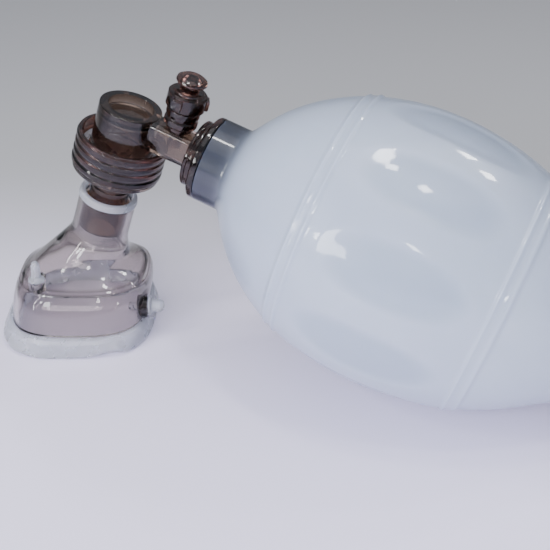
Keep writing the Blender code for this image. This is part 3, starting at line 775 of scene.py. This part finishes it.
def inset_section(section):
    """The inside of the wall at a section, a little lower under the sloping shoulder."""
    height, half_x, half_y, power, lean = section
    inset = COLLAR_RADIUS - COLLAR_BORE if lean > 0.9 else SHELL_WALL
    drop = SHOULDER_DROP * SHELL_WALL if SHOULDER_FOOT < height < SHOULDER_TOP else 0.0
    return (height - drop, half_x - inset, half_y - inset, power, lean)


def shell_tint(point):
    """How deep the shell's tint is: along the ridge, in the side boss and up the thick collar."""
    ridge = exp(-(((point.z - RIDGE_AT) / RIDGE_WIDTH) ** 2))
    in_boss = (point - RIGHT_PLUG - Vector((RIGHT_SEAT, 0, 0))).length < RIGHT_BOSS_RADIUS + 3.0
    collar = COLLAR_TINT / (1.0 + exp((COLLAR_TINT_FROM - point.z) / COLLAR_TINT_FADE))
    return max(0.8 * ridge, 0.9 * in_boss, collar)


def plug_boss(shell, place, lie, seat, radius, height, bore, depth):
    """A boss for a plug, laid by lie: its face is trimmed just under the plug's seat, and bored."""
    face = rod(radius + GAP, seat - GAP, seat + OUT_OF_BOSS)
    combine(shell, lie(rod(radius, seat - height, seat)), "UNION", place)
    combine(shell, lie(face), "DIFFERENCE", place)
    combine(shell, lie(rod(bore, seat - depth, seat + OUT_OF_BOSS)), "DIFFERENCE", place)


def mask_shell():
    """Clear dome: low wall, creased shoulder, cone and collar, with the bosses of its two plugs."""
    shares = [i / MASK_RINGS for i in range(MASK_RINGS + 1)]
    outer = []
    for share in shares:
        height, half_x, half_y, power, lean = between(SHELL_SECTIONS, share)
        ridge = RIDGE_HEIGHT * exp(-(((height - RIDGE_AT) / RIDGE_WIDTH) ** 2))
        outer.append(mask_section(height, half_x + ridge, half_y + ridge, power, lean))
    inset = [inset_section(section) for section in SHELL_SECTIONS]
    inner = [mask_section(*between(inset, share)) for share in shares]
    shell = placed("mask_shell_fine", loft(outer + inner[::-1]), MASK)
    left = MASK @ Matrix.Translation(LEFT_PLUG)
    plug_boss(shell, left, upright, LEFT_SEAT, LEFT_BOSS_RADIUS, height=5.5, bore=LEFT_BORE, depth=12.0)
    right = MASK @ Matrix.Translation(RIGHT_PLUG)
    plug_boss(shell, right, along_x, RIGHT_SEAT, RIGHT_BOSS_RADIUS, height=6.0, bore=RIGHT_BORE, depth=14.0)
    thicken_tint(shell, MASK, shell_tint)
    dress(shell, "mask_shell")


def lip_lift(step):
    """How far the cuff's lip curls up off the table, at one step round the mask."""
    angle = 2 * pi * step / MASK_ROUND
    return sum(height * exp(-(((angle - place) / width) ** 2)) for place, width, height in LIP_CURLS)


def mask_cuff():
    """Soft cushion: a thin skirt that flares from the shell's edge and turns under, with a wavy lip."""
    top = SHELL_FOOT - GAP
    outline = [
        (0.2, top),
        (1.7, 9.4),
        (2.8, 7.6),
        (3.6, 5.4),
        (4.2, 3.2),
        (4.4, 1.6),
        (3.9, 0.4),
        (3.0, 0.0),
        (-6.0, 0.0),
        (-8.0, 0.8),
        (-8.9, 2.6),
        (-8.6, 5.0),
        (-6.6, 8.0),
        (-2.6, top),
    ]
    rings = []
    for off, z in softened(outline, 1.2, closed=True, arc=3, least=8.0):
        wave = LIP_WAVE * max(0.0, 1.0 - z / top) if off > 0 else 0.0
        ring = mask_section(z, SHELL_HALF_X + off, SHELL_HALF_Y + off, SHELL_POWER, 0.0, wave)
        share = max(0.0, 1.0 - z / top) * max(0.0, off) / LIP_REACH
        rings.append([point + Vector((0, 0, share * lip_lift(step))) for step, point in enumerate(ring)])
    piece = dress(placed("mask_cuff_fine", loft(rings), MASK, sharp=70.0), "mask_cuff")


# Pieces

squeeze_bag()
valve_housing()
for node, rounding in (("valve_drum", 0.45), ("valve_base_ring", 0.5), ("patient_connector", 0.4)):
    turned_like(node, VALVE, rounding, steps=FINEST)
turned_like("collar_ring", VALVE, 0.8)
for node, rounding in (("relief_body", 0.4), ("relief_cap", 0.7), ("relief_poppet", 0.25)):
    turned_like(node, RELIEF, rounding)
turned_like("relief_seat", RELIEF, 0.2)
turned_like("relief_seal", RELIEF, 0.2)
lock_ring()
relief_spring()
turned_like("exhale_disc", VALVE, 0.2)
turned_like("connector_o_ring", VALVE, 0.3)
for node, rounding in (("neck_nut", 0.35), ("neck_flange", 0.5), ("neck_seal", 0.3)):
    turned_like(node, BAG, rounding, steps=FINEST)
for node, rounding in (("intake_flange", 0.5), ("intake_disc", 0.2), ("disc_button", 0.4)):
    turned_like(node, BAG, rounding, steps=FINEST)
mask_shell()
mask_cuff()
turned_like("port_plug_left", MASK @ middle_of("port_plug_left", MASK), 0.6)
right_place = MASK @ middle_of("port_plug_right", MASK) @ Matrix.Rotation(pi / 2, 4, "Y")
turned_like("port_plug_right", right_place, 0.6)
turned_like("oxygen_nipple", BAG @ middle_of("oxygen_nipple", BAG), 0.3)
for node in ("intake_seat", "intake_cover", "valve_seat_ring", "duckbill_valve"):
    shown = frame["nodes"][node]
    shown.data.materials.clear()
    shown.data.materials.append(SURFACES[SLOT_OF[node]])


# Stage

CAMERA_AZIMUTH = radians(20.2)
CAMERA_ELEVATION = radians(28.4)
CAMERA_DISTANCE = 0.541
CAMERA_LENS = 75.0
CAMERA_AIM = ORIGIN + Vector((0.0759, -0.0061, -0.0652))
FLOOR_HALF = 30.0
FLOOR_DROP = 0.0002
FLOOR_FADE = (-0.02, 0.26)
ROOM_STRENGTH = 0.68
SUBJECT = (0.03, 0, 0.06)
LAMP_SIZE = (0.07, 0.07)
LAMP_POWER = 0.8
LAMPS = (
    (0.03, -0.06, 0.92),
    (0.25, -0.18, 0.88),
    (0.30, 0.46, 0.73),
    (0.43, 0.35, 0.73),
    (0.69, -0.57, 0.18),
    (-0.45, -0.49, 0.59),
    (-0.42, -0.69, 0.31),
)


def floor():
    """Pale lilac table top with painted shade that turns it grey towards the back."""
    bm = bmesh.new()
    bmesh.ops.create_grid(bm, x_segments=2, y_segments=2, size=FLOOR_HALF)
    made = placed("table_top", bm, Matrix.Translation((0, 0, -FLOOR_DROP)))
    look, tree, shader = principled("table_top_look", Roughness=0.32, IOR=1.35)
    where = node_of(tree, "ShaderNodeTexCoord")
    turned = node_of(tree, "ShaderNodeMapping")
    turned.inputs["Rotation"].default_value = (0, 0, -CAMERA_AZIMUTH)
    tree.links.new(where.outputs["Object"], turned.inputs["Vector"])
    axes = node_of(tree, "ShaderNodeSeparateXYZ")
    tree.links.new(turned.outputs["Vector"], axes.inputs["Vector"])
    # painted shade: lilac near the camera, grey further back
    back_shade = remapped(tree, axes.outputs["Y"], FLOOR_FADE, interpolation="SMOOTHSTEP")
    colour = mixed(tree, back_shade, (0.84, 0.80, 0.99), (0.45, 0.455, 0.465))
    tree.links.new(colour, shader.inputs["Base Color"])
    made.data.materials.append(look)


def area_light(name, position, aim, size, power, colour=(1.0, 1.0, 1.0), mirrored=True):
    """A soft panel turned to its aim. A panel that isn't mirrored lights surfaces but shows in none."""
    data = bpy.data.lights.new(name, "AREA")
    data.shape = "RECTANGLE"
    data.size, data.size_y = size
    data.energy = power
    data.color = colour
    made = bpy.data.objects.new(name, data)
    made.location = position
    made.rotation_euler = (Vector(aim) - Vector(position)).to_track_quat("-Z", "Y").to_euler()
    made.visible_glossy = mirrored
    bpy.context.scene.collection.objects.link(made)


def world():
    """Even grey room: light above, darker towards the horizon so that clear plastic shows its edges."""
    made = bpy.data.worlds.new("studio")
    bpy.context.scene.world = made
    made.use_nodes = True
    tree = made.node_tree
    where = node_of(tree, "ShaderNodeTexCoord")
    axes = node_of(tree, "ShaderNodeSeparateXYZ")
    tree.links.new(where.outputs["Generated"], axes.inputs["Vector"])
    ramp = node_of(tree, "ShaderNodeValToRGB")
    ramp.color_ramp.elements[0].position = 0.0
    ramp.color_ramp.elements[0].color = (0.16, 0.17, 0.18, 1)
    ramp.color_ramp.elements[1].position = 0.75
    ramp.color_ramp.elements[1].color = (0.74, 0.76, 0.86, 1)
    tree.links.new(axes.outputs["Z"], ramp.inputs["Fac"])
    tree.links.new(ramp.outputs["Color"], tree.nodes["Background"].inputs["Color"])
    tree.nodes["Background"].inputs["Strength"].default_value = ROOM_STRENGTH


def camera():
    """Long lens above the front of the device, looking down along the bag."""
    ahead = Vector(
        (
            -sin(CAMERA_AZIMUTH) * cos(CAMERA_ELEVATION),
            cos(CAMERA_AZIMUTH) * cos(CAMERA_ELEVATION),
            -sin(CAMERA_ELEVATION),
        )
    )
    data = bpy.data.cameras.new("camera")
    data.lens = CAMERA_LENS
    data.sensor_width = 36.0
    data.clip_start = 0.01
    made = bpy.data.objects.new("camera", data)
    made.location = CAMERA_AIM - ahead * CAMERA_DISTANCE
    made.rotation_euler = ahead.to_track_quat("-Z", "Y").to_euler()
    bpy.context.scene.collection.objects.link(made)
    bpy.context.scene.camera = made


floor()
world()
area_light("overhead", (0.1, -0.1, 1.3), (0, 0, 0), (1.4, 1.0), 5.0, (0.96, 0.96, 1.0))
area_light("front", (0.0, -1.6, 0.7), (0.03, 0, 0.05), (1.6, 0.8), 38.0, (0.94, 0.92, 1.0), mirrored=False)
area_light("strip", (-0.55, -0.62, 0.30), (-0.11, 0, 0.10), (0.03, 0.45), 1.2)
area_light("glow", (0.21, -0.76, 0.45), SUBJECT, (0.06, 0.16), 1.2)
area_light("window", (-0.30, -0.80, 0.29), SUBJECT, (0.12, 0.16), 1.6, (0.95, 0.97, 1.0))
for index, position in enumerate(LAMPS):
    area_light(f"lamp_{index}", position, SUBJECT, LAMP_SIZE, LAMP_POWER)
camera()
